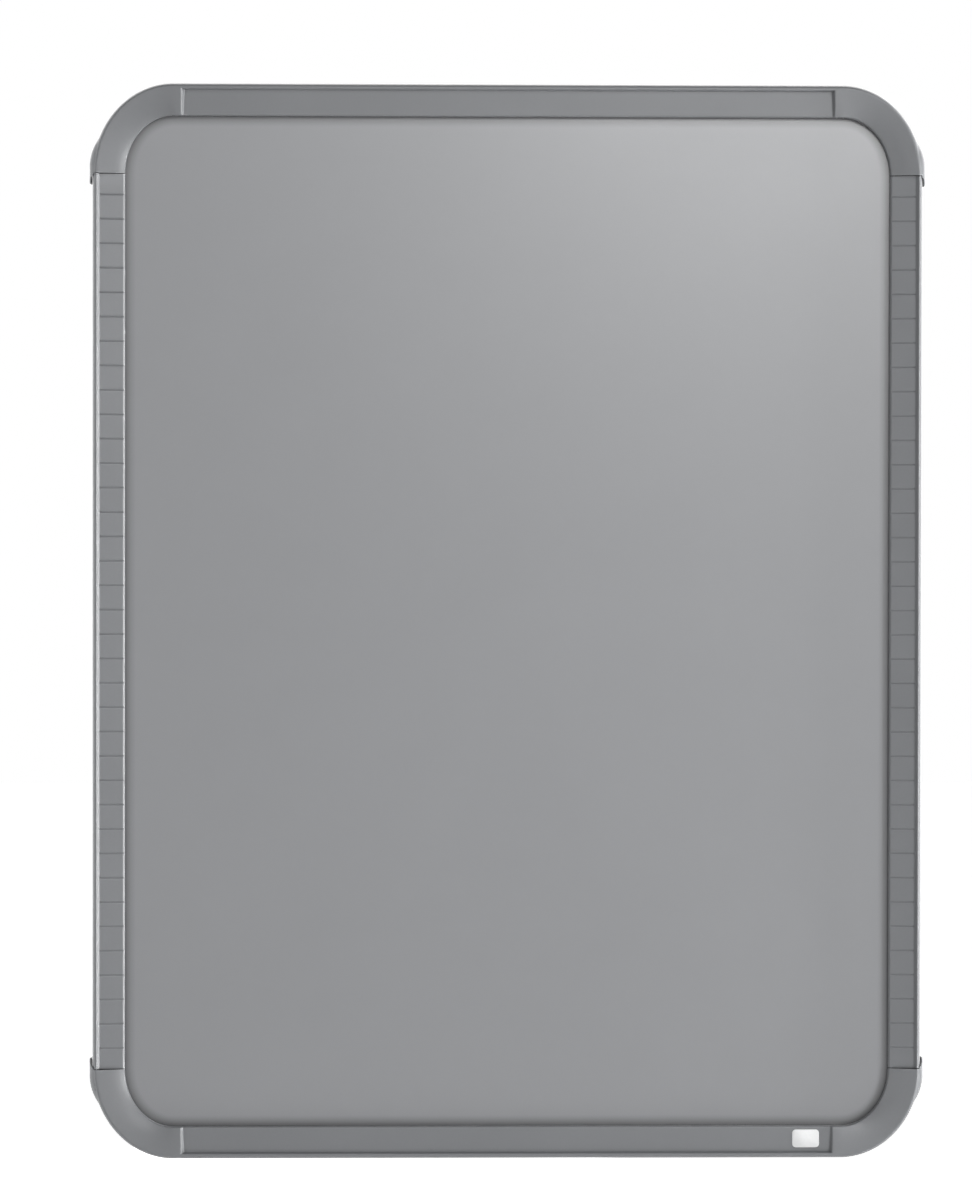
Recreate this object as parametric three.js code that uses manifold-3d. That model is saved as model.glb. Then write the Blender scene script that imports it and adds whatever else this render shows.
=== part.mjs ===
// A small magnetic board for a wall: a lacquered steel sheet on a stiff core, in a frame of two
// moulded end caps and two grooved side rails, carried by four self-adhesive foam pads.
// Sizes are in millimetres. The board is drawn lying on its back: x runs across it, y runs up it
// and z is the height off the wall. The last lines stand it up against the wall.

import * as THREE from 'three';
import { ConvexGeometry } from 'three/addons/geometries/ConvexGeometry.js';
import { LoftGeometry } from 'three/addons/geometries/LoftGeometry.js';
import { mergeVertices } from 'three/addons/utils/BufferGeometryUtils.js';
import Module from 'manifold-3d';

const wasm = await Module();
wasm.setup();

// Overall size, over the skirts of the caps
const overallWidth = 280;
const overallHeight = 360;

// Layers, from the wall outwards
const padThickness = 2;
const backingThickness = 0.5;
const coreThickness = 4;
const sheetThickness = 0.3;

// Frame section
const railWidth = 11;           // outer wall to inner edge
const wallThickness = 1.5;
const lipThickness = 1.5;       // inner leg that rests on the writing surface
const frontThickness = 1.2;
const flangeThickness = 1;      // behind the board
const flangeSetback = 2;        // how much less the flange reaches in than the front does
const chamberHeight = 2.6;      // height of the chamber over the board, where the floor begins
const grooveBedDepth = 1.1;     // crest of a side rail down to the outer edge of its floor
const floorFall = 1.2;          // how much lower the inner edge of that floor lies
const capProud = 0.3;           // how far the caps stand above the crest of the rails
const leanStart = 5;            // height at which the outer wall begins to lean in
const wallLean = 1.5;           // how far it has leaned in at the crest
const rearChamfer = 0.4;
const edgeGap = 1;              // edge of the board to the outer wall
const boardPlay = 0.2;          // board to the flange behind it

// Side rails
const railCrestWidth = 0.15;
const railStepRun = 0.95;       // slope from the crest down to the floor
const innerChamfer = 0.6;
const groovePitch = 8.15;
const grooveWidth = 0.6;
const grooveDepth = 0.22;
const grooveMargin = 6.5;       // least plain floor at either end of a rail
const seamGap = 0.2;            // rail end to cap

// End caps
const cornerReach = 27.2;       // outer corner ellipse, across the board, from the rail's outer wall
const cornerRise = 30.3;        // the same along the board: the caps end here
const crownStart = 1.8;         // where the front begins to roll down to the inner edge
const crownDrop = 2.7;          // crest down to the inner edge, beside the side rails
const crownDropAtRecess = 0.6;  // the same, along the recess
const crownPower = 2;
const crownEase = 2;            // above 1, the drop changes later in the corner
const recessEndInset = 30.6;    // outer wall of a rail to the end of the recess
const recessStepInset = 2.6;    // outer edge of a cap to the floor of the recess
const recessStepRun = 0.5;
const recessEndRun = 0.8;
const recessEndLean = 0.5;      // the ends of the recess are nearer together at the outer edge

// Skirts of the caps, outside the side rails
const skirtThickness = 0.7;
const skirtGap = 0.3;
const skirtReach = 3.3;         // past the end of the cap's front
const skirtStraight = 2.4;
const skirtRadius = 16;
const skirtDepth = 6;           // how deep the skirt is rooted in the cap
const skirtTopDrop = 0.6;       // below the crest

// Tongues of the caps, inside the side rails
const tongueGap = 0.3;
const tongueLength = 12;
const tongueRoot = 6;
const tongueTaper = 2;
const rootBite = 0.3;           // how far the root runs into the front wall

// Foam pads
const padSize = 25;
const padRadius = 3;
const padInset = 12;            // edge of the flange to the pad

// Fineness of the curves
const cornerSteps = 14;
const crownSteps = 8;
const arcSteps = 5;
const weldDistance = 1e-4;
const overrun = 2;              // how far a cutting tool runs past what it cuts

// Heights off the wall
const boardBack = padThickness;
const coreBack = boardBack + backingThickness;
const sheetBack = coreBack + coreThickness;
const boardFront = sheetBack + sheetThickness;
const flangeFront = boardBack - boardPlay;
const frameBack = flangeFront - flangeThickness;
const chamberTop = boardFront + chamberHeight;
const floorHeight = chamberTop + frontThickness;
const railCrest = floorHeight + grooveBedDepth;
const capCrest = railCrest + capProud;

// Places across and along the board
const skirtStand = skirtThickness + skirtGap;
const railOuter = overallWidth / 2 - skirtStand;
const halfHeight = overallHeight / 2;
const capEnd = halfHeight - cornerRise;
const flangeWidth = railWidth - flangeSetback;
const boardInset = wallThickness + edgeGap;
const floorInset = wallLean + railCrestWidth + railStepRun;

const frameMaterial = { color: 0x7f8284, roughness: 0.5, metalness: 0 };
const surfaceMaterial = { color: 0x9a9b9e, roughness: 0.35, metalness: 0.1 };
const coreMaterial = { color: 0xa98f6b, roughness: 0.9, metalness: 0 };
const backingMaterial = { color: 0xc9c7c1, roughness: 0.85, metalness: 0 };
const padMaterial = { color: 0xe9e9e6, roughness: 0.95, metalness: 0 };

// Height of the sunk floor of a side rail, which falls towards the inner edge
function floorAt(inward) {
  const share = (inward - floorInset) / (railWidth - innerChamfer - floorInset);
  return floorHeight - floorFall * share;
}

// Height of the roof of the chamber, a wall below that floor
function roofAt(inward) {
  return floorAt(inward) - frontThickness;
}

function toSolid(geometry) {
  const bare = new THREE.BufferGeometry();
  bare.setAttribute('position', geometry.attributes.position);
  bare.setIndex(geometry.index);
  const merged = mergeVertices(bare, weldDistance);
  return new wasm.Manifold(new wasm.Mesh({
    numProp: 3,
    vertProperties: merged.attributes.position.array,
    triVerts: new Uint32Array(merged.index.array),
  }));
}

function toGeometry(solid) {
  const mesh = solid.getMesh();
  const geometry = new THREE.BufferGeometry();
  geometry.setAttribute('position', new THREE.BufferAttribute(mesh.vertProperties, 3));
  geometry.setIndex(new THREE.BufferAttribute(mesh.triVerts, 1));
  geometry.computeVertexNormals();
  return geometry;
}

// A flat outline, raised from one height to another
function raise(shape, low, high) {
  const options = { depth: high - low, bevelEnabled: false, curveSegments: arcSteps };
  return new THREE.ExtrudeGeometry(shape, options).translate(0, 0, low);
}

// A section across a rail, run along the board from one y to another
function runAlong(shape, low, high) {
  const options = { depth: high - low, bevelEnabled: false, curveSegments: arcSteps };
  return new THREE.ExtrudeGeometry(shape, options).rotateX(Math.PI / 2).translate(0, high, 0);
}

// Outer contour of the frame, seen along a rail: x is the distance in from the outer wall and
// y the height off the wall. The front is drawn by the caller's own function.
function contour(crest, drawFront) {
  const shape = new THREE.Shape();
  shape.moveTo(railWidth, frameBack);
  drawFront(shape);
  shape.absellipse(wallLean, leanStart, wallLean, crest - leanStart, Math.PI / 2, Math.PI, false);
  shape.lineTo(0, frameBack + rearChamfer);
  shape.lineTo(rearChamfer, frameBack);
  return shape;
}

// Front of a side rail, from its inner edge out: chamfer, floor, slope and crest
function drawRailFront(shape) {
  const floorEnd = railWidth - innerChamfer;
  shape.lineTo(railWidth, floorAt(floorEnd) - innerChamfer);
  shape.lineTo(floorEnd, floorAt(floorEnd));
  shape.lineTo(floorInset, floorHeight);
  shape.lineTo(wallLean + railCrestWidth, railCrest);
}

// Crowned front of a cap, from its inner edge out. It is flatter the further the corner has turned.
function drawCapFront(shape, turn) {
  const drop = crownDrop + (crownDropAtRecess - crownDrop) * turn ** crownEase;
  for (let step = 0; step <= crownSteps; step += 1) {
    const share = 1 - step / crownSteps;
    const inward = crownStart + (railWidth - crownStart) * share;
    shape.lineTo(inward, capCrest - drop * share ** crownPower);
  }
}

// Inside of the frame: the chamber over the board, the slot for its edge and the room behind it
function hollowShape() {
  const lipInset = railWidth - lipThickness;
  const inside = railWidth + overrun;
  const shape = new THREE.Shape();
  shape.moveTo(wallThickness, flangeFront);
  shape.lineTo(flangeWidth, flangeFront);
  shape.lineTo(flangeWidth, frameBack - overrun);
  shape.lineTo(inside, frameBack - overrun);
  shape.lineTo(inside, boardFront);
  shape.lineTo(lipInset, boardFront);
  shape.lineTo(lipInset, roofAt(lipInset));
  shape.lineTo(wallThickness, roofAt(wallThickness));
  return shape;
}

// Carries a section round one end of the frame, from the end of one leg to the other. The
// section is drawn anew for each turn of the corner, 0 at the leg and 1 at the top, and each of
// its points keeps its distance in from the elliptical outer corner.
function sweepRoundEnd(drawSection, legOverrun) {
  const corner = (side, turn, drop) => {
    const angle = turn * (Math.PI / 2);
    const points = drawSection(turn).extractPoints(arcSteps).shape;
    if (!THREE.ShapeUtils.isClockWise(points)) points.reverse();
    return points.map(({ x, y }) => new THREE.Vector3(
      side * (railOuter - cornerReach + (cornerReach - x) * Math.cos(angle)),
      capEnd + (cornerRise - x) * Math.sin(angle) - drop,
      y,
    ));
  };
  const turns = Array.from({ length: cornerSteps + 1 }, (_, step) => step / cornerSteps);
  const left = turns.map((turn) => corner(-1, turn, 0));
  const right = turns.map((turn) => corner(1, turn, 0)).reverse();
  const rings = [...left, ...right];
  if (legOverrun > 0) {
    rings.unshift(corner(-1, 0, legOverrun));
    rings.push(corner(1, 0, legOverrun));
  }
  return new LoftGeometry(rings, { capStart: true, capEnd: true });
}

// The shallow recess along the front of a cap: its floor is flat, its walls slope and its ends lean
function recessCutter() {
  const depth = capCrest - floorHeight;
  const inner = railWidth + overrun;
  const points = [];
  for (const side of [-1, 1]) {
    for (const share of [0, 1 + overrun / depth]) {
      const rise = depth * share;
      const end = railOuter - recessEndInset + recessEndRun * share;
      const outer = recessStepInset - recessStepRun * share;
      for (const [x, inward] of [[end - recessEndLean / 2, outer], [end + recessEndLean / 2, inner]]) {
        points.push(new THREE.Vector3(side * x, halfHeight - inward, floorHeight + rise));
      }
    }
  }
  return toSolid(new ConvexGeometry(points));
}

// Side wall of a cap where it stands outside the rail, seen from the front: straight beside the
// rail, then a round that runs into the corner. It leans in with height and its free end slopes
// back from the wall side to the front of the cap.
function skirtOutline(side, height, inset) {
  const outer = railOuter + skirtStand - inset;
  const inner = railOuter - skirtDepth;
  const centre = railOuter + skirtStand - skirtRadius;
  const radius = skirtRadius - inset;
  const slope = Math.max(0, height - leanStart) / (capCrest - leanStart);
  const end = capEnd - skirtReach * (1 - slope);
  const outline = new THREE.Shape();
  outline.moveTo(inner, end);
  outline.lineTo(outer, end);
  outline.absarc(centre, capEnd + skirtStraight, radius, 0, Math.acos((inner - centre) / radius), false);
  const points = outline.extractPoints(2 * arcSteps).shape;
  const ring = points.map(({ x, y }) => new THREE.Vector3(side * x, y, height));
  return side > 0 ? ring : ring.reverse();
}

function skirtSolid(side) {
  const rings = [skirtOutline(side, frameBack, rearChamfer), skirtOutline(side, frameBack + rearChamfer, 0)];
  const rise = capCrest - skirtTopDrop - leanStart;
  for (let step = 0; step <= arcSteps; step += 1) {
    const angle = (step / arcSteps) * (Math.PI / 2);
    const inset = (wallLean + skirtStand) * (1 - Math.cos(angle));
    rings.push(skirtOutline(side, leanStart + rise * Math.sin(angle), inset));
  }
  return toSolid(new LoftGeometry(rings, { capStart: true, capEnd: true }));
}

// Room for the side rail inside the skirt
function railEnvelope(side) {
  const shape = new THREE.Shape();
  shape.moveTo(railWidth, frameBack - overrun);
  shape.lineTo(railWidth, capCrest + overrun);
  shape.lineTo(wallLean, capCrest + overrun);
  shape.absellipse(wallLean, leanStart, wallLean, railCrest - leanStart, Math.PI / 2, Math.PI, false);
  shape.lineTo(0, frameBack - overrun);
  const points = shape.extractPoints(arcSteps).shape;
  const placed = points.map(({ x, y }) => new THREE.Vector2(side * (railOuter + skirtGap - x), y));
  return toSolid(runAlong(new THREE.Shape(placed), capEnd - skirtReach - overrun, capEnd));
}

// Flat tongue that plugs into the chamber of a side rail. Inside the cap its root is thicker and
// follows the slope of the roof.
function tongueSolid(side) {
  const outer = wallThickness + tongueGap;
  const inner = railWidth - lipThickness - tongueGap;
  const tip = capEnd - tongueLength;
  const low = boardFront + tongueGap;
  const end = capEnd + tongueRoot;
  const place = (points) => points.map(([inward, y]) => new THREE.Vector2(side * (railOuter - inward), y));
  const tongue = new THREE.Shape(place([
    [inner, end],
    [inner, tip + tongueTaper],
    [inner - tongueTaper, tip],
    [outer + tongueTaper, tip],
    [outer, tip + tongueTaper],
    [outer, end],
  ]));
  const root = new THREE.Shape(place([
    [inner, low],
    [outer, low],
    [outer, roofAt(outer) + rootBite],
    [inner, roofAt(inner) + rootBite],
  ]));
  return toSolid(raise(tongue, low, roofAt(inner) - tongueGap)).add(toSolid(runAlong(root, capEnd, end)));
}

function capGeometry() {
  const crowned = (turn) => contour(capCrest, (shape) => drawCapFront(shape, turn));
  let cap = toSolid(sweepRoundEnd(crowned, 0));
  for (const side of [-1, 1]) {
    cap = cap.add(skirtSolid(side).subtract(railEnvelope(side)));
  }
  cap = cap.subtract(toSolid(sweepRoundEnd(hollowShape, overrun))).subtract(recessCutter());
  for (const side of [-1, 1]) {
    cap = cap.add(tongueSolid(side));
  }
  return toGeometry(cap);
}

// One V groove across the floor of a rail, from the foot of its slope
function grooveCutter(y) {
  const rise = 1 + overrun / grooveDepth;
  const points = [floorInset, railWidth + overrun].flatMap((inward) => [
    new THREE.Vector3(railOuter - inward, y, floorAt(inward) - grooveDepth),
    new THREE.Vector3(railOuter - inward, y - (grooveWidth / 2) * rise, floorAt(inward) + overrun),
    new THREE.Vector3(railOuter - inward, y + (grooveWidth / 2) * rise, floorAt(inward) + overrun),
  ]);
  return toSolid(new ConvexGeometry(points));
}

function railGeometry() {
  const end = capEnd - seamGap;
  const place = (shape) => new THREE.Shape(
    shape.extractPoints(arcSteps).shape.map(({ x, y }) => new THREE.Vector2(railOuter - x, y)),
  );
  let rail = toSolid(runAlong(place(contour(railCrest, drawRailFront)), -end, end));
  rail = rail.subtract(toSolid(runAlong(place(hollowShape()), -end - overrun, end + overrun)));
  const grooves = Math.floor((2 * (end - grooveMargin)) / groovePitch) + 1;
  for (let groove = 0; groove < grooves; groove += 1) {
    rail = rail.subtract(grooveCutter((groove - (grooves - 1) / 2) * groovePitch));
  }
  return toGeometry(rail);
}

// Outline of the board: straight sides and elliptical corners that follow the caps
function boardOutline() {
  const halfWidth = railOuter - boardInset;
  const half = halfHeight - boardInset;
  const reach = cornerReach - boardInset;
  const rise = cornerRise - boardInset;
  const quarter = Math.PI / 2;
  const outline = new THREE.Shape();
  [[1, 1], [-1, 1], [-1, -1], [1, -1]].forEach(([across, up], turn) => {
    const x = across * (halfWidth - reach);
    const y = up * (half - rise);
    outline.absellipse(x, y, reach, rise, turn * quarter, (turn + 1) * quarter, false);
  });
  return outline;
}

function boardLayer(low, high) {
  const options = { depth: high - low, bevelEnabled: false, curveSegments: cornerSteps };
  return new THREE.ExtrudeGeometry(boardOutline(), options).translate(0, 0, low);
}

function padGeometry() {
  const half = padSize / 2;
  const straight = half - padRadius;
  const outline = new THREE.Shape();
  [[1, 1], [-1, 1], [-1, -1], [1, -1]].forEach(([across, up], turn) => {
    const start = (turn * Math.PI) / 2;
    outline.absarc(across * straight, up * straight, padRadius, start, start + Math.PI / 2, false);
  });
  return raise(outline, 0, padThickness);
}

const board = new THREE.Group();

function addPiece(name, geometry, look) {
  const mesh = new THREE.Mesh(geometry, new THREE.MeshStandardMaterial(look));
  mesh.name = name;
  board.add(mesh);
  return mesh;
}

const cap = capGeometry();
addPiece('top_cap', cap, frameMaterial);
addPiece('bottom_cap', cap, frameMaterial).rotation.z = Math.PI;

const rail = railGeometry();
addPiece('right_rail', rail, frameMaterial);
addPiece('left_rail', rail, frameMaterial).rotation.z = Math.PI;

addPiece('writing_surface', boardLayer(sheetBack, boardFront), surfaceMaterial);
addPiece('core_board', boardLayer(coreBack, sheetBack), coreMaterial);
addPiece('backing_sheet', boardLayer(boardBack, coreBack), backingMaterial);

const pad = padGeometry();
const padX = railOuter - flangeWidth - padInset - padSize / 2;
const padY = halfHeight - flangeWidth - padInset - padSize / 2;
for (const [row, up] of [['top', 1], ['bottom', -1]]) {
  for (const [column, across] of [['left', -1], ['right', 1]]) {
    addPiece(`${row}_${column}_pad`, pad, padMaterial).position.set(across * padX, up * padY, 0);
  }
}

board.rotation.x = Math.PI / 2;
const whiteboard = new THREE.Group();
whiteboard.add(board);

export default whiteboard;
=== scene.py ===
import math

import bmesh
import bpy
from mathutils import Matrix, Quaternion, Vector


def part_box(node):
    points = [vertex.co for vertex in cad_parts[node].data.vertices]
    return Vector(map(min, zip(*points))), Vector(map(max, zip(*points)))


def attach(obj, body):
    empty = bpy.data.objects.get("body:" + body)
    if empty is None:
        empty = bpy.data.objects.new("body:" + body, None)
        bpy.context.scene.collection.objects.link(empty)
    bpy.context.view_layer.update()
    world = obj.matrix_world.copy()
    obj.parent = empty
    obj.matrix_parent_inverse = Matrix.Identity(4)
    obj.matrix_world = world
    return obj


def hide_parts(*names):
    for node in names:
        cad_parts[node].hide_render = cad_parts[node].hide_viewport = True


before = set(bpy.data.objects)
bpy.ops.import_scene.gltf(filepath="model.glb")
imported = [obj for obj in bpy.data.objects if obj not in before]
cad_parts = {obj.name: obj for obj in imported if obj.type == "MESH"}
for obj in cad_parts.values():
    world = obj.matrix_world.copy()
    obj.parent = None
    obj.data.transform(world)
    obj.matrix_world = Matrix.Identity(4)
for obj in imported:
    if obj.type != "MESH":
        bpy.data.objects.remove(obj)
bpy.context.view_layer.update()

# A small magnetic board for a wall. Sizes here are in millimetres and are turned into metres
# where a mesh is made. across runs to the right, up runs up the board, off is the height off
# the wall, and inward is the distance in from the outer wall of a side rail.

millimetre = 0.001


def boxInMm(node):
    low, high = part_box(node)
    return low / millimetre, high / millimetre


capLow, capHigh = boxInMm("top_cap")
railLow, railHigh = boxInMm("right_rail")
sheetLow = boxInMm("writing_surface")[0]
backHigh = boxInMm("backing_sheet")[1]

board = {
    "halfWidth": capHigh.x,          # over the skirts
    "halfHeight": capHigh.z,
    "railOuter": railHigh.x,
    "railWidth": railHigh.x - railLow.x,
    "railEnd": railHigh.z,
    "frameBack": -railHigh.y,
    "railCrest": -railLow.y,
    "capCrest": -capLow.y,
    "boardFront": -sheetLow.y,
    "boardBack": -backHigh.y,
}

# Section that the caps and the rails share
section = {
    "wall": 1.5,
    "lip": 1.5,
    "front": 1.2,
    "grooveBed": 1.1,      # crest of a rail down to the outer edge of its floor
    "floorFall": 1.2,      # how much lower the inner edge of the floor lies
    "floorInset": 2.6,     # outer wall to the floor
    "innerChamfer": 0.6,
    "leanStart": 5.0,      # the outer wall leans in above this height
    "wallLean": 1.5,
    "wallMiddle": 3.0,     # a point half way up the upright part of that wall
    "rearChamfer": 0.4,
    "backPoint": 1.4,      # where the flat back is closed, in from the outer wall
    "flangeSetback": 2.0,
    "boardPlay": 0.2,
    "seamGap": 0.2,        # rail end to cap
    "edgeRound": 0.18,     # also how far the edge of the lip dips into the sheet
}

meshing = {
    "weld": 0.0005,        # points nearer than this become one
    "sharpAngle": 32,      # edges sharper than this stay crisp, in degrees
}

floorHeight = board["railCrest"] - section["grooveBed"]
flangeFront = board["boardBack"] - section["boardPlay"]
flangeWidth = board["railWidth"] - section["flangeSetback"]
capEnd = board["railEnd"] + section["seamGap"]


def floorAt(inward):
    # the sunk floor of a rail falls towards the inner edge
    run = board["railWidth"] - section["innerChamfer"] - section["floorInset"]
    return floorHeight - section["floorFall"] * (inward - section["floorInset"]) / run


def roofAt(inward):
    # roof of the chamber, a wall below that floor
    return floorAt(inward) - section["front"]


# Shaping helpers

def softMin(a, b, blend):
    near = max(blend - abs(a - b), 0.0) / blend
    return min(a, b) - near * near * blend / 4


def softMax(a, b, blend):
    return -softMin(-a, -b, blend)


def spread(low, high, steps):
    return [low + (high - low) * step / steps for step in range(steps + 1)]


def roundedPath(corners, steps=3):
    # corners are (x, y, radius); each gets a short curve between its two sides
    points = []
    for index, (x, y, radius) in enumerate(corners):
        here = Vector((x, y))
        if radius == 0 or index in (0, len(corners) - 1):
            points.append((x, y))
            continue
        before = (Vector(corners[index - 1][:2]) - here).normalized() * radius
        after = (Vector(corners[index + 1][:2]) - here).normalized() * radius
        for share in spread(0, 1, steps):
            bent = here + before * (1 - share) ** 2 + after * share ** 2
            points.append((bent.x, bent.y))
    return points


def toFrame(point):
    across, up, off = point
    return Vector((across, -off, up)) * millimetre


class Shell:
    # collects patches of one closed surface and welds them where they meet
    def __init__(self):
        self.mesh = bmesh.new()

    def patch(self, rows, closed=False):
        made = [[self.mesh.verts.new(toFrame(point)) for point in row] for row in rows]
        for low, high in zip(made, made[1:]):
            count = len(low)
            for index in range(count if closed else count - 1):
                after = (index + 1) % count
                self.mesh.faces.new((low[index], low[after], high[after], high[index]))

    def face(self, points):
        self.mesh.faces.new([self.mesh.verts.new(toFrame(point)) for point in points])

    def tube(self, rings):
        # closed rings one after another, with a face over each end
        self.patch(rings, closed=True)
        self.face(rings[0])
        self.face(rings[-1])

    def finish(self, name):
        weld = meshing["weld"] * millimetre
        bmesh.ops.remove_doubles(self.mesh, verts=self.mesh.verts, dist=weld)
        bmesh.ops.dissolve_degenerate(self.mesh, dist=weld, edges=self.mesh.edges)
        bmesh.ops.recalc_face_normals(self.mesh, faces=self.mesh.faces)
        data = bpy.data.meshes.new(name)
        self.mesh.to_mesh(data)
        self.mesh.free()
        piece = addObject(name, data)
        smooth(piece)
        return piece


def addObject(name, data):
    thing = bpy.data.objects.new(name, data)
    bpy.context.scene.collection.objects.link(thing)
    return thing


def smooth(piece):
    piece.data.shade_smooth()
    piece.data.set_sharp_from_angle(angle=math.radians(meshing["sharpAngle"]))


def turnedCopy(piece, name):
    # the same moulding, turned half round in the plane of the wall
    data = piece.data.copy()
    data.transform(Matrix.Rotation(math.pi, 4, "Y"))
    return addObject(name, data)


def joinSolid(piece, other):
    # both have to be closed, or nothing is joined
    modifier = piece.modifiers.new("join", "BOOLEAN")
    modifier.operation = "UNION"
    modifier.solver = "MANIFOLD"
    modifier.object = other
    graph = bpy.context.evaluated_depsgraph_get()
    joined = bpy.data.meshes.new_from_object(piece.evaluated_get(graph))
    piece.modifiers.clear()
    piece.data = joined
    bpy.data.objects.remove(other)


def outerWall(crest, steps):
    # from the back edge up the outer wall to the crest, as (inward, off)
    rise = crest - section["leanStart"]
    points = [
        (section["rearChamfer"], board["frameBack"]),
        (0.0, board["frameBack"] + section["rearChamfer"]),
        (0.0, section["wallMiddle"]),
    ]
    for share in spread(0, 1, steps):
        angle = share * math.pi / 2
        inward = section["wallLean"] * (1 - math.cos(angle))
        points.append((inward, section["leanStart"] + rise * math.sin(angle)))
    return points


def insideOfFrame():
    # from the inner edge of the front, round the lip, chamber and flange to the back
    radius = section["edgeRound"]
    lipInset = board["railWidth"] - section["lip"]
    corners = [
        (board["railWidth"], 0.0, 0),  # gives the direction of the next corner and is dropped
        (board["railWidth"], board["boardFront"], radius),
        (lipInset, board["boardFront"], 0),
        (lipInset, roofAt(lipInset), 0),
        (section["wall"], roofAt(section["wall"]), 0),
        (section["wall"], flangeFront, 0),
        (flangeWidth, flangeFront, radius),
        (flangeWidth, board["frameBack"], radius),
        (section["backPoint"], board["frameBack"], 0),
    ]
    return roundedPath(corners)[1:]


# Materials. In a finish, a pair of tones is the lowest and the highest over the surface, a
# cloud is (lumps per metre, detail, stretch), and a bump is (strength, depth in millimetres).

white = (1.0, 1.0, 1.0, 1.0)
usualNoise = (0.3, 0.7)     # where most values of a cloud lie
allNoise = (0.1, 0.9)       # where nearly all of them lie


def addNode(tree, kind, **inputs):
    node = tree.nodes.new(kind)
    for name, value in inputs.items():
        node.inputs[name].default_value = value
    return node


def startMaterial(name):
    material = bpy.data.materials.new(name)
    material.use_nodes = True
    tree = material.node_tree
    return material, tree, tree.nodes["Principled BSDF"]


def placeOnPiece(tree):
    return tree.nodes.new("ShaderNodeTexCoord").outputs["Object"]


def cloud(tree, place, scale, detail, stretch=None):
    noise = addNode(tree, "ShaderNodeTexNoise", Scale=scale, Detail=detail, Roughness=0.55)
    if stretch:
        mapping = addNode(tree, "ShaderNodeMapping", Scale=stretch)
        tree.links.new(place, mapping.inputs["Vector"])
        place = mapping.outputs["Vector"]
    tree.links.new(place, noise.inputs["Vector"])
    return noise.outputs["Fac"]


def remap(tree, value, tones, source=usualNoise):
    node = tree.nodes.new("ShaderNodeMapRange")
    names = ("From Min", "From Max", "To Min", "To Max")
    for name, setting in zip(names, (*source, *tones)):
        node.inputs[name].default_value = setting
    tree.links.new(value, node.inputs["Value"])
    return node.outputs["Result"]


def calculate(tree, operation, first, second):
    node = tree.nodes.new("ShaderNodeMath")
    node.operation = operation
    for socket, value in zip(node.inputs, (first, second)):
        if isinstance(value, (int, float)):
            socket.default_value = value
        else:
            tree.links.new(value, socket)
    return node.outputs["Value"]


def multiply(tree, first, *others):
    for other in others:
        first = calculate(tree, "MULTIPLY", first, other)
    return first


def paintedCornerShade(tree, look):
    # 1 on open surfaces, and less in seams and corners: painted shade, as ambient occlusion darkens
    # the base colour where walls stand close
    corner = addNode(tree, "ShaderNodeAmbientOcclusion", Distance=look["paintedShadeReach"] * millimetre)
    return remap(tree, corner.outputs["AO"], (1 - look["paintedShade"], 1.0), look["paintedShadeOpenness"])


def tint(tree, shader, colour, strength):
    # the base colour, lighter and darker with a value that varies over the surface
    node = tree.nodes.new("ShaderNodeVectorMath")
    node.operation = "SCALE"
    node.inputs[0].default_value = colour
    tree.links.new(strength, node.inputs["Scale"])
    tree.links.new(node.outputs["Vector"], shader.inputs["Base Color"])


def roughen(tree, shader, value):
    tree.links.new(value, shader.inputs["Roughness"])


def bumpChain(tree, shader, layers):
    # layers are (height, (strength, depth)), coarse to fine
    normal = None
    for height, (strength, depth) in layers:
        bump = addNode(tree, "ShaderNodeBump", Strength=strength, Distance=depth * millimetre)
        tree.links.new(height, bump.inputs["Height"])
        if normal:
            tree.links.new(normal, bump.inputs["Normal"])
        normal = bump.outputs["Normal"]
    tree.links.new(normal, shader.inputs["Normal"])


framePlastic = {
    "colour": (0.166, 0.171, 0.179),
    "roughness": (0.33, 0.37),
    "specular": 0.42,
    "mottle": (0.975, 1.025),
    "mottleCloud": (28, 3),
    "mottleBump": (0.15, 0.05),
    "grain": (0.985, 1.015),
    "grainCloud": (1500, 2),
    "grainBump": (0.35, 0.02),
    "smudgeCloud": (95, 4),
    "lineCloud": (900, 1, (1.0, 1.0, 0.012)),   # lines drawn along a rail
    "lineDepth": 0.012,
    "edgeWear": 0.10,               # how much lighter and smoother worn edges are
    "wornEdges": (0.51, 0.58),      # pointiness where the wear starts and where it is full
    "paintedShade": 0.55,                   # painted shade in seams and corners, as a share
    "paintedShadeReach": 1.8,               # how far it reaches out of them
    "paintedShadeOpenness": (0.4, 0.92),    # how open a place is where it is full and where it ends
}


def framePlasticMaterial(name, lines):
    # lines: how strongly the drawn lines of an extrusion show
    look = framePlastic
    material, tree, shader = startMaterial(name)
    place = placeOnPiece(tree)
    mottle = cloud(tree, place, *look["mottleCloud"])
    grain = cloud(tree, place, *look["grainCloud"])
    smudge = cloud(tree, place, *look["smudgeCloud"])
    drawn = cloud(tree, place, *look["lineCloud"])
    edges = tree.nodes.new("ShaderNodeNewGeometry").outputs["Pointiness"]
    worn = remap(tree, edges, (0.0, look["edgeWear"]), look["wornEdges"])
    tones = remap(tree, mottle, look["mottle"]), remap(tree, grain, look["grain"])
    # the base colour takes painted shade in seams and corners
    strength = multiply(tree, *tones, paintedCornerShade(tree, look))
    tint(tree, shader, look["colour"], calculate(tree, "ADD", strength, worn))
    rubbed = remap(tree, smudge, look["roughness"], allNoise)
    roughen(tree, shader, calculate(tree, "SUBTRACT", rubbed, worn))
    shader.inputs["Specular IOR Level"].default_value = look["specular"]
    bumpChain(tree, shader, [
        (mottle, look["mottleBump"]),
        (drawn, (lines, look["lineDepth"])),
        (grain, look["grainBump"]),
    ])
    return material


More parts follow.
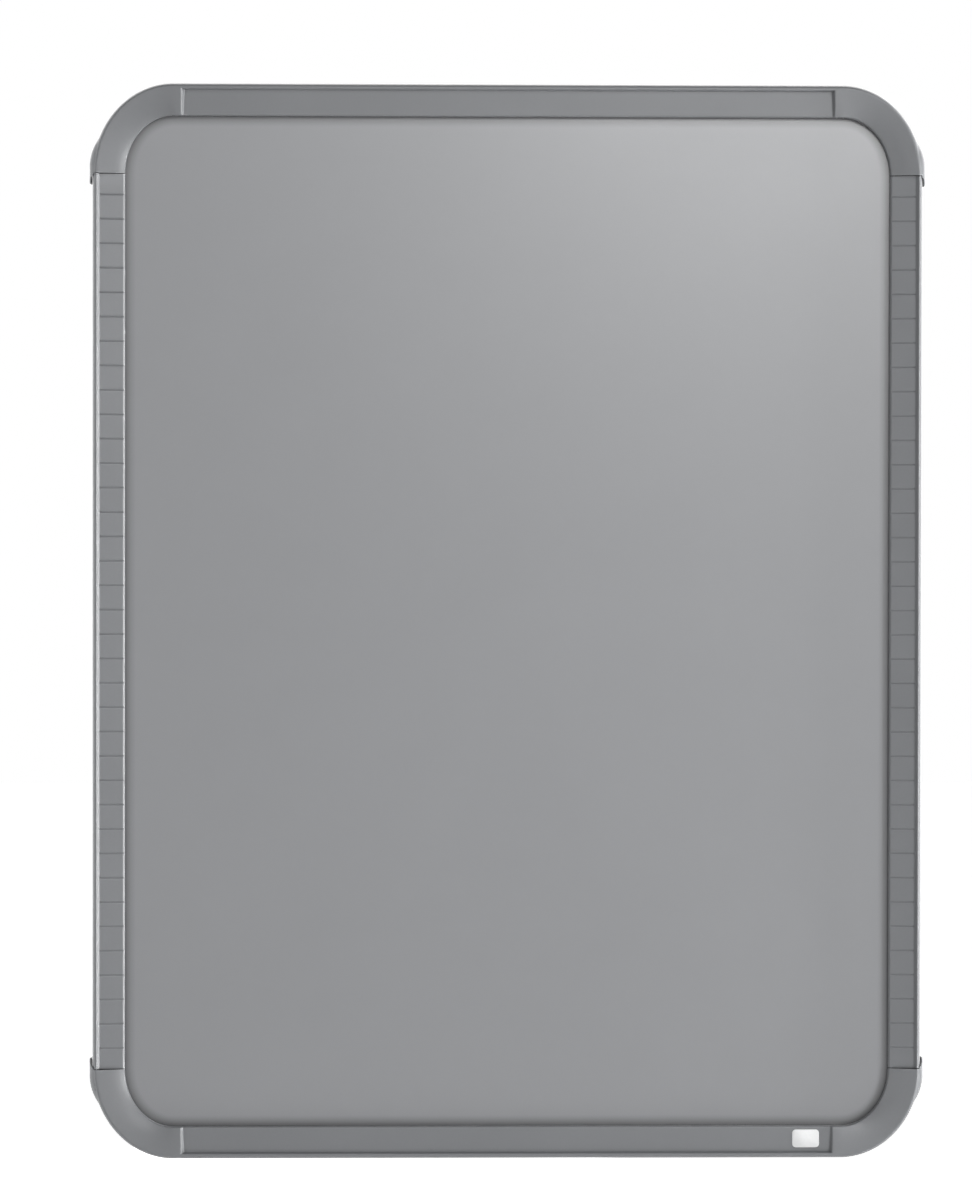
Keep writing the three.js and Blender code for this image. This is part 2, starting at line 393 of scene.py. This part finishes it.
lacquer = {
    "colour": (0.213, 0.217, 0.227),
    "roughness": (0.27, 0.31),
    "specular": 0.75,
    "coat": 0.4,
    "coatRoughness": 0.3,
    "haze": (0.988, 1.012),
    "hazeCloud": (9, 3),
    "hazeBump": (0.3, 0.12),        # the thin sheet wanders a little from flat
    "speck": (0.988, 1.012),
    "speckCloud": (2200, 2),
    "blot": (0.992, 1.008),
    "blotCloud": (60, 5),
    "peelCloud": (420, 1),          # orange peel
    "peelBump": (0.3, 0.006),
    "wipeCloud": (45, 2),
    "paintedShade": 0.85,                   # painted shade along the frame, darker where the frame stands close
    "paintedShadeReach": 3.6,
    "paintedShadeOpenness": (0.4, 1.0),
}


def lacquerMaterial():
    look = lacquer
    material, tree, shader = startMaterial("satinLacquer")
    place = placeOnPiece(tree)
    haze = cloud(tree, place, *look["hazeCloud"])
    speck = cloud(tree, place, *look["speckCloud"])
    blot = cloud(tree, place, *look["blotCloud"])
    peel = cloud(tree, place, *look["peelCloud"])
    wipes = cloud(tree, place, *look["wipeCloud"])
    layers = ((haze, "haze"), (speck, "speck"), (blot, "blot"))
    tones = [remap(tree, value, look[name]) for value, name in layers]
    # painted shade along the frame darkens the base colour
    tint(tree, shader, look["colour"], multiply(tree, *tones, paintedCornerShade(tree, look)))
    roughen(tree, shader, remap(tree, wipes, look["roughness"], allNoise))
    shader.inputs["Specular IOR Level"].default_value = look["specular"]
    shader.inputs["Coat Weight"].default_value = look["coat"]
    shader.inputs["Coat Roughness"].default_value = look["coatRoughness"]
    bumpChain(tree, shader, [(haze, look["hazeBump"]), (peel, look["peelBump"])])
    return material


fibreboard = {
    "colour": (0.40, 0.29, 0.17),
    "roughness": (0.8, 0.96),
    "chips": (0.72, 1.25),
    "chipCloud": (700, 5, (1.0, 4.0, 1.0)),
    "chipBump": (0.5, 0.12),
    "fibreCloud": (1600, 3, (0.2, 3.0, 1.0)),
    "fibreBump": (0.5, 0.05),
}


def fibreboardMaterial():
    look = fibreboard
    material, tree, shader = startMaterial("pressedFibre")
    place = placeOnPiece(tree)
    chips = cloud(tree, place, *look["chipCloud"])
    fibres = cloud(tree, place, *look["fibreCloud"])
    tint(tree, shader, look["colour"], remap(tree, chips, look["chips"]))
    roughen(tree, shader, remap(tree, fibres, look["roughness"]))
    bumpChain(tree, shader, [(chips, look["chipBump"]), (fibres, look["fibreBump"])])
    return material


backingPaper = {
    "colour": (0.58, 0.57, 0.54),
    "roughness": (0.74, 0.9),
    "pulp": (0.95, 1.04),
    "pulpCloud": (240, 6),
    "pulpBump": (0.35, 0.05),
    "fibres": (0.95, 1.05),
    "fibreCloud": (1400, 3, (0.22, 1.0, 1.0)),
    "fibreBump": (0.4, 0.03),
    "waves": (0.97, 1.02),
    "waveCloud": (14, 2),
    "waveBump": (0.3, 0.2),
}


def backingMaterial():
    look = backingPaper
    material, tree, shader = startMaterial("backingPaper")
    place = placeOnPiece(tree)
    pulp = cloud(tree, place, *look["pulpCloud"])
    fibres = cloud(tree, place, *look["fibreCloud"])
    waves = cloud(tree, place, *look["waveCloud"])
    layers = ((pulp, "pulp"), (fibres, "fibres"), (waves, "waves"))
    tones = [remap(tree, value, look[name]) for value, name in layers]
    tint(tree, shader, look["colour"], multiply(tree, *tones))
    roughen(tree, shader, remap(tree, fibres, look["roughness"]))
    bumpChain(tree, shader, [
        (waves, look["waveBump"]),
        (pulp, look["pulpBump"]),
        (fibres, look["fibreBump"]),
    ])
    return material


foam = {
    "colour": (0.80, 0.80, 0.78),
    "roughness": (0.82, 0.95),
    "sheen": 0.15,
    "cells": 2600,                  # per metre
    "pits": (0.86, 1.03),
    "pitDistance": (0.0, 0.6),      # from the middle of a cell, as a share of its size
    "pitBump": (0.6, 0.06),
    "lumps": (0.97, 1.02),
    "lumpCloud": (420, 3),
    "lumpBump": (0.4, 0.12),
}


def foamMaterial():
    look = foam
    material, tree, shader = startMaterial("padFoam")
    place = placeOnPiece(tree)
    cells = addNode(tree, "ShaderNodeTexVoronoi", Scale=look["cells"])
    tree.links.new(place, cells.inputs["Vector"])
    fromMiddle = cells.outputs["Distance"]
    lumps = cloud(tree, place, *look["lumpCloud"])
    pits = remap(tree, fromMiddle, look["pits"], look["pitDistance"])
    tint(tree, shader, look["colour"], multiply(tree, pits, remap(tree, lumps, look["lumps"])))
    roughen(tree, shader, remap(tree, lumps, look["roughness"]))
    shader.inputs["Sheen Weight"].default_value = look["sheen"]
    bumpChain(tree, shader, [(lumps, look["lumpBump"]), (fromMiddle, look["pitBump"])])
    return material


# End caps

cap = {
    "cornerReach": 27.2,     # outer corner ellipse, across
    "cornerRise": 30.3,      # and up
    "crownStart": 1.8,
    "crownDrop": 2.7,        # crest to inner edge, beside the rails
    "dropAtRecess": 0.6,     # the same along the recess
    "crownLean": 0.6,        # share of the drop that is an even slope
    "crownPower": 4,         # how late the rest of it comes
    "crownEase": 2,          # above 1, the drop changes later in the corner
    "innerRoll": 0.45,       # radius of the inner edge
    "recessEnd": 30.6,       # outer wall of a rail to the end of the recess
    "recessStep": 2.6,
    "stepRun": 0.5,
    "endRun": 0.95,
    "endLean": 0.5,
    "leanSpan": 10.4,        # over which the ends of the recess lean
    "edgeBlend": 0.3,
    "footBlend": 0.22,
}

# Where the points of the cap's mesh lie: close together where the shape turns
capPoints = {
    "wallSteps": 26,
    "pastCrest": 0.12,
    "aboutStep": (-0.25, -0.15, -0.07, 0, 0.08, 0.17, 0.26, 0.35, 0.43, 0.5, 0.57, 0.66, 0.8),
    "alongFloor": (3.6, 4.6, 5.8, 7.0, 8.0, 8.8, 9.4),
    "beforeRoll": (9.7, 9.85, 9.95, 10.03, 10.12, 10.25, 10.4),
    "rollSteps": 6,
    "cornerAngles": ((0, 26, 26), (28, 90, 31)),    # degrees, as (from, to, steps)
    "aboutRecessEnd": (
        1.5, 1.15, 0.98, 0.88, 0.78, 0.66, 0.53, 0.4, 0.27, 0.15, 0.05, -0.06, -0.18, -0.35, -0.8,
    ),
    "barSteps": 12,
    "barMargin": 6,          # end of the recess to the first even step
}

skirt = {
    "thickness": 0.7,
    "gap": 0.3,
    "reach": 3.3,
    "straight": 2.4,
    "radius": 16.0,
    "topDrop": 0.6,
    "blend": 0.22,
    "steps": 6,
    "endSteps": 6,           # round its end
}

tongue = {
    "gap": 0.3,
    "length": 12.0,
    "root": 6.0,             # how far it reaches into the cap
    "bite": 0.5,             # how far that root reaches into the front wall
    "taper": 2.0,
    "taperUp": 0.4,          # the bend in the taper, as shares of it
    "taperIn": 0.3,
    "tipDrop": 0.3,
}


def recessEndAt(inward):
    share = (inward - cap["recessStep"]) / cap["leanSpan"]
    return board["railOuter"] - cap["recessEnd"] + cap["endLean"] * (share - 0.5)


def capFrontHeight(inward, across, turn):
    # turn is 0 beside a rail and 1 along the recess
    share = max(0.0, inward - cap["crownStart"]) / (board["railWidth"] - cap["crownStart"])
    drop = cap["crownDrop"] + (cap["dropAtRecess"] - cap["crownDrop"]) * turn ** cap["crownEase"]
    fall = cap["crownLean"] * share + (1 - cap["crownLean"]) * share ** cap["crownPower"]
    crown = board["capCrest"] - drop * fall
    depth = board["capCrest"] - floorHeight
    step = floorHeight + depth * (cap["recessStep"] - inward) / cap["stepRun"]
    end = floorHeight + depth * (abs(across) - recessEndAt(inward)) / cap["endRun"]
    recess = softMax(softMax(floorHeight, step, cap["footBlend"]), end, cap["footBlend"])
    height = softMin(crown, recess, cap["edgeBlend"])
    past = inward - (board["railWidth"] - cap["innerRoll"])
    if past > 0:
        height -= cap["innerRoll"] - math.sqrt(max(0.0, cap["innerRoll"] ** 2 - past ** 2))
    return height


def capFrontPoints():
    # how far inward each point across the front lies
    step = cap["recessStep"] - cap["stepRun"]
    edge = board["railWidth"] - cap["innerRoll"]
    angles = spread(0, math.pi / 2, capPoints["rollSteps"])
    return [
        section["wallLean"] + capPoints["pastCrest"],
        *[step + offset for offset in capPoints["aboutStep"]],
        *capPoints["alongFloor"],
        *capPoints["beforeRoll"],
        *[edge + cap["innerRoll"] * math.sin(angle) for angle in angles],
    ]


def skirtInset(off):
    rise = board["capCrest"] - skirt["topDrop"] - section["leanStart"]
    share = max(0.0, off - section["leanStart"]) / rise
    lean = section["wallLean"] + skirt["thickness"] + skirt["gap"]
    chamfer = max(0.0, board["frameBack"] + section["rearChamfer"] - off)
    return lean * (1 - math.sqrt(max(0.0, 1 - share * share))) + chamfer


def skirtAcross(up, off):
    inset = skirtInset(off)
    past = up - capEnd - skirt["straight"]
    if past <= 0:
        return board["halfWidth"] - inset
    radius = skirt["radius"] - inset
    if past >= radius:
        return 0.0
    return board["halfWidth"] - skirt["radius"] + math.sqrt(radius * radius - past * past)


def cornerPlace(side, angle):
    def place(inward):
        reach = (cap["cornerReach"] - inward) * math.cos(angle)
        rise = (cap["cornerRise"] - inward) * math.sin(angle)
        return side * (board["railOuter"] - cap["cornerReach"] + reach), capEnd + rise
    return place


def barPlace(side, distance, lean):
    def place(inward):
        shift = recessEndAt(inward) - recessEndAt(cap["recessStep"] + cap["leanSpan"] / 2)
        return side * (distance + lean * shift), board["halfHeight"] - inward
    return place


def capStations():
    # a place function and its turn for each ring, from the left leg round to the right one
    quarter = math.pi / 2
    angles = [math.radians(angle) for run in capPoints["cornerAngles"] for angle in spread(*run)]
    end = board["railOuter"] - cap["recessEnd"]
    halves = []
    for side in (-1, 1):
        corner = [(cornerPlace(side, angle), angle / quarter) for angle in angles]
        places = [barPlace(side, end + offset, 1.0) for offset in capPoints["aboutRecessEnd"]]
        halves.append(corner + [(place, 1.0) for place in places])
    inner = end - capPoints["barMargin"]
    distances = spread(-inner, inner, capPoints["barSteps"])
    middle = [(barPlace(1, distance, 0.0), 1.0) for distance in distances]
    return halves[0] + middle + halves[1][::-1]


def capRing(place, turn, wall, front, rest):
    points = []
    for inward, off in wall:
        across, up = place(inward)
        if off < board["capCrest"] - skirt["topDrop"]:
            proud = softMax(abs(across), skirtAcross(up, off), skirt["blend"])
            across = math.copysign(proud, across)
        points.append((across, up, off))
    for inward in front:
        across, up = place(inward)
        points.append((across, up, capFrontHeight(inward, across, turn)))
    for inward, off in rest:
        points.append((*place(inward), off))
    return points


def railClearance(off):
    # inner face of the skirt: the outer wall of a rail and a small gap
    rise = board["railCrest"] - section["leanStart"]
    share = min(1.0, max(0.0, off - section["leanStart"]) / rise)
    lean = section["wallLean"] * (1 - math.sqrt(1 - share * share))
    return board["railOuter"] + skirt["gap"] - lean


def skirtEnd(off):
    slope = max(0.0, off - section["leanStart"]) / (board["capCrest"] - section["leanStart"])
    return capEnd - skirt["reach"] * (1 - slope)


def addSkirtPlate(shell, ring, wallCount, side):
    # the thin plate that runs past the end of the cap, outside the rail
    outer = []
    for across, _, off in ring[:wallCount]:
        outer.append((abs(across), off))
        if railClearance(off) >= abs(across):
            break
    inner = [(railClearance(off), off) for across, off in outer[:-1]] + [outer[-1]]
    shares = spread(0, 1, skirt["steps"])
    half = skirt["thickness"] / 2

    def row(points, share):
        made = []
        for across, off in points:
            up = capEnd + (skirtEnd(off) + half - capEnd) * share
            made.append((side * across, up, off))
        return made

    rows = [row(outer, share) for share in shares]
    for angle in spread(0, math.pi, skirt["endSteps"])[1:-1]:
        turn = []
        for (outerAcross, off), (innerAcross, _) in zip(outer, inner):
            middle = (outerAcross + innerAcross) / 2
            reach = (outerAcross - innerAcross) / 2
            across = middle + reach * math.cos(angle)
            turn.append((side * across, skirtEnd(off) + half - half * math.sin(angle), off))
        rows.append(turn)
    rows += [row(inner, share) for share in shares[::-1]]
    shell.patch(rows)
    for low, high in zip(range(len(rows) // 2), range(len(rows) - 1, 0, -1)):
        shell.face([rows[low][0], rows[low + 1][0], rows[high - 1][0], rows[high][0]])
    return [(side * across, capEnd, off) for across, off in inner]


def addBackPoints(rings):
    # one more point along the back of each ring, so that at both ends of the cap it is
    # where the inner face of the skirt starts and no slit is left there
    outer, inner = abs(rings[0][0][0]), abs(rings[0][-1][0])
    share = (railClearance(board["frameBack"]) - inner) / (outer - inner)
    for ring in rings:
        ring.append(tuple(Vector(ring[-1]).lerp(Vector(ring[0]), share)))


def makeTongue(side):
    # flat plug that holds the cap in the chamber of the rail
    outer = section["wall"] + tongue["gap"]
    inner = board["railWidth"] - section["lip"] - tongue["gap"]
    tip = capEnd - tongue["length"]
    taper = tongue["taper"]
    low = board["boardFront"] + tongue["gap"]
    high = roofAt(inner) - tongue["gap"]
    root = (roofAt(outer) + tongue["bite"], roofAt(inner) + tongue["bite"])
    tipTop = high - tongue["tipDrop"]
    # up, how much narrower on each side, and the top at its outer and inner edge
    profile = [
        (capEnd + tongue["root"], 0.0, root),
        (capEnd, 0.0, root),
        (capEnd, 0.0, (high, high)),
        (tip + taper, 0.0, (high, high)),
        (tip + taper * tongue["taperUp"], taper * tongue["taperIn"], (high, high)),
        (tip, taper, (tipTop, tipTop)),
    ]
    rings = []
    for up, narrow, (outerTop, innerTop) in profile:
        far = side * (board["railOuter"] - outer - narrow)
        near = side * (board["railOuter"] - inner + narrow)
        rings.append([(near, up, low), (far, up, low), (far, up, outerTop), (near, up, innerTop)])
    shell = Shell()
    shell.tube(rings)
    return shell.finish("tongue")


def makeCap():
    wall = outerWall(board["capCrest"], capPoints["wallSteps"])
    front = capFrontPoints()
    rest = insideOfFrame()
    shell = Shell()
    rings = [capRing(place, turn, wall, front, rest) for place, turn in capStations()]
    addBackPoints(rings)
    shell.patch(rings, closed=True)
    for ring, side in ((rings[0], -1), (rings[-1], 1)):
        foot = addSkirtPlate(shell, ring, len(wall), side)
        shell.face(foot + ring[len(foot):])
    piece = shell.finish("topCapMoulding")
    for side in (-1, 1):
        joinSolid(piece, makeTongue(side))
    smooth(piece)
    return piece


# Side rails

rail = {
    "crestWidth": 0.15,
    "slopeShares": (0.22, 0.36, 0.5, 0.62, 0.74),
    "crestRound": 0.14,
    "footRound": 0.24,
    "edgeRound": 0.2,
    "groovePitch": 8.15,
    "grooveWidth": 0.6,
    "grooveDepth": 0.22,
    "grooveMargin": 6.5,
    "grooveFoot": 0.04,
    "grooveBlend": 0.05,
}

# Where the points of the rail's mesh lie
railPoints = {
    "wallSteps": 16,
    "roundSteps": 4,
    "floorSteps": 5,
    "floorFrom": 0.6,        # in from the outer edge of the floor
    "floorTo": 0.5,          # and from its inner edge
    "aboutGroove": (0.07, 0.16, 0.27, 0.36, 0.65, 1.2, 2.15),
    "noGroove": 9.0,         # so far from a groove that nothing of it shows
}


def railFront():
    crestInner = section["wallLean"] + rail["crestWidth"]
    run = section["floorInset"] - crestInner
    width, chamfer = board["railWidth"], section["innerChamfer"]
    floorEnd = width - chamfer
    slope = []
    for share in rail["slopeShares"]:
        slope.append((crestInner + run * share, board["railCrest"] - section["grooveBed"] * share, 0))
    first = section["floorInset"] + railPoints["floorFrom"]
    last = floorEnd - railPoints["floorTo"]
    floor = [(inward, floorAt(inward), 0) for inward in spread(first, last, railPoints["floorSteps"])]
    corners = [
        (section["wallLean"], board["railCrest"], 0),  # the wall has it already
        (crestInner, board["railCrest"], rail["crestRound"]),
        *slope,
        (section["floorInset"], floorHeight, rail["footRound"]),
        *floor,
        (floorEnd, floorAt(floorEnd), rail["edgeRound"]),
        (width, floorAt(floorEnd) - chamfer, rail["edgeRound"]),
        (width, board["boardFront"], 0),  # gives the direction of the corner above it
    ]
    return roundedPath(corners, railPoints["roundSteps"])[1:-1]


def grooveCentres():
    span = 2 * (board["railEnd"] - rail["grooveMargin"])
    count = int(span // rail["groovePitch"]) + 1
    return [(index - (count - 1) / 2) * rail["groovePitch"] for index in range(count)]


def grooveHeight(inward, distance):
    slope = rail["grooveDepth"] / (rail["grooveWidth"] / 2)
    soft = math.sqrt(distance * distance + rail["grooveFoot"] ** 2) - rail["grooveFoot"]
    return floorAt(inward) - rail["grooveDepth"] + slope * soft


def railStations():
    # how far up each ring lies, and its distance from the nearest groove
    near = railPoints["aboutGroove"]
    offsets = (*[-offset for offset in near[::-1]], 0, *near)
    stations = [(-board["railEnd"], railPoints["noGroove"])]
    for centre in grooveCentres():
        stations += [(centre + offset, abs(offset)) for offset in offsets]
    stations.append((board["railEnd"], railPoints["noGroove"]))
    return stations


def makeRail():
    wall = outerWall(board["railCrest"], railPoints["wallSteps"])
    front = railFront()
    rest = insideOfFrame()
    cutFrom = section["floorInset"] - rail["grooveFoot"]
    rings = []
    for up, distance in railStations():
        ring = list(wall)
        for inward, off in front:
            if inward > cutFrom:
                off = softMin(off, grooveHeight(inward, distance), rail["grooveBlend"])
            ring.append((inward, off))
        ring += rest
        rings.append([(board["railOuter"] - inward, up, off) for inward, off in ring])
    shell = Shell()
    shell.tube(rings)
    return shell.finish("rightRailExtrusion")


# Foam pads and the small blank plate

pad = {
    "film": 0.12,
    "edge": 0.1,
    "edgeIn": 0.03,          # the bend in its rounded edge
    "edgeRise": 0.4,         # and how far up that is, as a share of the edge
    "pinch": 0.22,           # how far the sides pull in at the waist
    "pinchAtFilm": 0.6,      # share of it where the foam meets a film
    "sideSteps": 8,
    "cornerRadius": 3.0,
    "cornerSteps": 7,
}

plate = {
    "width": 9.0,
    "height": 6.0,
    "radius": 1.2,
    "thickness": 0.16,
    "lift": 0.01,            # keeps its back clear of the floor of the recess
    "edgeRows": ((0.0, 0.08), (0.03, 0.04), (0.1, 0.0)),    # (inset, below the front)
    "fromRecessEnd": 8.2,
    "fromStep": 1.3,
    "cornerSteps": 6,
}


def roundedSquare(width, height, radius, inset, steps):
    points = []
    for turn, (across, up) in enumerate(((1, 1), (-1, 1), (-1, -1), (1, -1))):
        for share in spread(0, 1, steps):
            angle = (turn + share) * math.pi / 2
            points.append((
                across * (width / 2 - radius) + (radius - inset) * math.cos(angle),
                up * (height / 2 - radius) + (radius - inset) * math.sin(angle),
            ))
    return points


def slab(name, centre, size, radius, levels, steps):
    # a rounded tablet: levels are (inset, off) from one face round to the other
    rings = []
    for inset, off in levels:
        outline = roundedSquare(size[0], size[1], radius, inset, steps)
        rings.append([(centre[0] + across, centre[1] + up, off) for across, up in outline])
    shell = Shell()
    shell.tube(rings)
    return shell.finish(name)


def makePad(node):
    low, high = boxInMm(node)
    back, front = -high.y, -low.y
    film, edge, share = pad["film"], pad["edge"], pad["pinchAtFilm"]
    bend = edge * pad["edgeRise"]
    atFilm = pad["pinch"] * share
    levels = [(edge, back), (pad["edgeIn"], back + bend), (0.0, back + film)]
    levels.append((atFilm, back + film))
    for rise in spread(0, 1, pad["sideSteps"])[1:-1]:
        inset = pad["pinch"] * (share + (1 - share) * math.sin(rise * math.pi))
        levels.append((inset, back + film + (front - back - 2 * film) * rise))
    levels.append((atFilm, front - film))
    levels += [(0.0, front - film), (pad["edgeIn"], front - bend), (edge, front)]
    centre = ((low.x + high.x) / 2, (low.z + high.z) / 2)
    size = (high.x - low.x, high.z - low.z)
    return slab(node + "_foam", centre, size, pad["cornerRadius"], levels, pad["cornerSteps"])


def makePlate():
    # flat on the floor of the recess of the bottom cap
    top = floorHeight + plate["thickness"]
    levels = [(0.0, floorHeight + plate["lift"])]
    levels += [(inset, top - below) for inset, below in plate["edgeRows"]]
    middle = cap["recessStep"] + plate["fromStep"] + plate["height"] / 2
    centre = (recessEndAt(middle) - plate["fromRecessEnd"], middle - board["halfHeight"])
    size = (plate["width"], plate["height"])
    return slab("blank_plate", centre, size, plate["radius"], levels, plate["cornerSteps"])


plateFinish = {
    "colour": (0.72, 0.725, 0.73),
    "roughness": (0.35, 0.48),
    "specks": (0.98, 1.02),
    "speckCloud": (1800, 3),
    "speckBump": (0.3, 0.01),
    "waves": (0.98, 1.01),
    "waveCloud": (180, 2),
    "waveBump": (0.2, 0.02),
}


def plateMaterial():
    look = plateFinish
    material, tree, shader = startMaterial("blankPlate")
    place = placeOnPiece(tree)
    specks = cloud(tree, place, *look["speckCloud"])
    waves = cloud(tree, place, *look["waveCloud"])
    tones = remap(tree, specks, look["specks"]), remap(tree, waves, look["waves"])
    tint(tree, shader, look["colour"], multiply(tree, *tones))
    roughen(tree, shader, remap(tree, waves, look["roughness"]))
    bumpChain(tree, shader, [(waves, look["waveBump"]), (specks, look["speckBump"])])
    return material


# Put the pieces in place

def dress(piece, material, node=None):
    piece.data.materials.clear()
    piece.data.materials.append(material)
    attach(piece, "root")
    if node:
        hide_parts(node)


mouldedPlastic = framePlasticMaterial("mouldedPlastic", 0.0)
drawnPlastic = framePlasticMaterial("drawnPlastic", 0.35)

topCap = makeCap()
dress(topCap, mouldedPlastic, "top_cap")
bottomCap = turnedCopy(topCap, "bottomCapMoulding")
dress(bottomCap, mouldedPlastic, "bottom_cap")
print("caps:", len(topCap.data.vertices), "points each")

rightRail = makeRail()
dress(rightRail, drawnPlastic, "right_rail")
leftRail = turnedCopy(rightRail, "leftRailExtrusion")
dress(leftRail, drawnPlastic, "left_rail")
print("rails:", len(rightRail.data.vertices), "points each")

for node, material, slot in (
    ("writing_surface", lacquerMaterial(), "lacquered_steel"),
    ("core_board", fibreboardMaterial(), "fibreboard"),
    ("backing_sheet", backingMaterial(), "backing_paper"),
):
    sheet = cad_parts[node]
    sheet.data.materials.clear()
    sheet.data.materials.append(material)
print("board: three layers finished")

foamFinish = foamMaterial()
for row in ("top", "bottom"):
    for column in ("left", "right"):
        node = f"{row}_{column}_pad"
        piece = makePad(node)
        dress(piece, foamFinish, node)
print("pads: four foam pads")

dress(makePlate(), plateMaterial())
print("plate: blank, on the bottom cap")


# Camera

view = {
    "distance": 1.5,            # metres, lens to the outer walls of the board
    "fromLeft": 1.3,            # degrees
    "fromAbove": 0.8,
    "roll": 0.08,
    "imageWidth": 972,
    "imageHeight": 1200,
    "centreColumn": 507.5,      # where the middle of the board stands in the image
    "centreRow": 621.9,
    "pixelsPerMetre": 2979,     # at the height where the outer walls begin to lean
    "sensor": 36.0,
    "seenFrom": 0.01,           # metres
    "seenTo": 50.0,
}


def makeCamera():
    data = bpy.data.cameras.new("camera")
    camera = addObject("camera", data)
    left, above = math.radians(view["fromLeft"]), math.radians(view["fromAbove"])
    back = Vector((
        -math.sin(left) * math.cos(above),
        -math.cos(left) * math.cos(above),
        math.sin(above),
    ))
    aim = Vector((
        (view["imageWidth"] / 2 - view["centreColumn"]) / view["pixelsPerMetre"],
        -section["leanStart"] * millimetre,
        (view["centreRow"] - view["imageHeight"] / 2) / view["pixelsPerMetre"],
    ))
    camera.location = aim + back * view["distance"]
    camera.rotation_mode = "QUATERNION"
    level = (-back).to_track_quat("-Z", "Y")
    camera.rotation_quaternion = level @ Quaternion((0, 0, 1), math.radians(view["roll"]))
    data.sensor_width = view["sensor"]
    data.lens = view["distance"] * view["pixelsPerMetre"] * view["sensor"] / view["imageHeight"]
    data.clip_start, data.clip_end = view["seenFrom"], view["seenTo"]
    bpy.context.scene.camera = camera


makeCamera()
print("camera: in place")


# Light, floor and background

studio = {
    "ambient": 0.11,
    "floorDrop": 0.26,          # metres below the lower edge of the board
    "floorSize": 14.0,
    "floorColour": (0.86, 0.86, 0.86, 1.0),
    "floorRoughness": 0.9,
    "floorGlow": 0.86,          # added for the camera alone, so shadows stay
    "floorInGloss": 1.0,        # gloss and glass see a plain floor, without the lamps' light on it
}

lamps = [
    # name, place in metres, size, power in watts, whether gloss shows it
    ("softboxFromRight", (0.9, -1.5, 0.1), (1.2, 2.4), 9, True),
    ("keyFromRight", (1.10, -0.98, 0.0), (0.24, 0.5), 8.5, True),
    ("sideFromRight", (1.35, -0.14, -0.08), (0.14, 0.8), 19, True),
    ("sheenUpperRight", (0.27, -1.9, 0.52), (0.35, 0.35), 5, True),
    ("fillFromLeft", (-1.2, -1.3, 0.0), (0.8, 1.2), 4, True),
    ("rimFromLeft", (-1.6, 0.25, 0.1), (0.6, 1.6), 20, False),
    ("softboxBehind", (0.3, 1.7, 0.3), (2.4, 2.0), 23, True),
]


def makeLamp(name, place, size, power, inGloss):
    data = bpy.data.lights.new(name, "AREA")
    data.shape = "RECTANGLE"
    data.size, data.size_y = size
    data.energy = power
    lamp = addObject(name, data)
    lamp.location = place
    lamp.rotation_mode = "QUATERNION"
    lamp.rotation_quaternion = Vector(place).to_track_quat("Z", "Y")  # it looks at the board
    lamp.visible_glossy = inGloss
    lamp.visible_camera = False


def rayKinds(tree):
    # 1 for rays from the camera, and 1 for rays by way of gloss or glass
    path = tree.nodes.new("ShaderNodeLightPath").outputs
    mirrored = calculate(tree, "MAXIMUM", path["Is Glossy Ray"], path["Is Transmission Ray"])
    return path["Is Camera Ray"], mirrored


def makeWorld():
    # white where it is seen, and faint as a light on the board
    world = bpy.data.worlds.new("studio")
    bpy.context.scene.world = world
    world.use_nodes = True
    tree = world.node_tree
    background = tree.nodes["Background"]
    background.inputs["Color"].default_value = white
    seen = calculate(tree, "MAXIMUM", *rayKinds(tree))
    strength = remap(tree, seen, (studio["ambient"], 1.0), (0.0, 1.0))
    tree.links.new(strength, background.inputs["Strength"])


def mixShaders(tree, share, first, second):
    node = tree.nodes.new("ShaderNodeMixShader")
    for socket, source in zip(node.inputs, (share, first, second)):
        tree.links.new(source, socket)
    return node.outputs["Shader"]


def floorMaterial():
    material, tree, shader = startMaterial("paleFloor")
    shader.inputs["Base Color"].default_value = studio["floorColour"]
    shader.inputs["Roughness"].default_value = studio["floorRoughness"]
    shader.inputs["Emission Color"].default_value = white
    camera, mirrored = rayKinds(tree)
    glow = calculate(tree, "MULTIPLY", camera, studio["floorGlow"])
    tree.links.new(glow, shader.inputs["Emission Strength"])
    plain = addNode(tree, "ShaderNodeEmission", Strength=studio["floorInGloss"])
    seen = mixShaders(tree, mirrored, shader.outputs["BSDF"], plain.outputs["Emission"])
    below = tree.nodes.new("ShaderNodeNewGeometry").outputs["Backfacing"]
    clear = tree.nodes.new("ShaderNodeBsdfTransparent").outputs["BSDF"]
    seen = mixShaders(tree, below, seen, clear)  # from below the floor hides nothing
    tree.links.new(seen, tree.nodes["Material Output"].inputs["Surface"])
    return material


def makeFloor():
    height = -(board["halfHeight"] * millimetre + studio["floorDrop"])
    half = studio["floorSize"] / 2
    sheet = bmesh.new()
    corners = [(-half, -half), (half, -half), (half, half), (-half, half)]
    sheet.faces.new([sheet.verts.new((across, deep, height)) for across, deep in corners])
    data = bpy.data.meshes.new("floor")
    sheet.to_mesh(data)
    sheet.free()
    data.materials.append(floorMaterial())
    addObject("floor", data)


for lamp in lamps:
    makeLamp(*lamp)
makeWorld()
makeFloor()
bpy.context.scene.view_settings.view_transform = "Standard"
print("studio: lit")
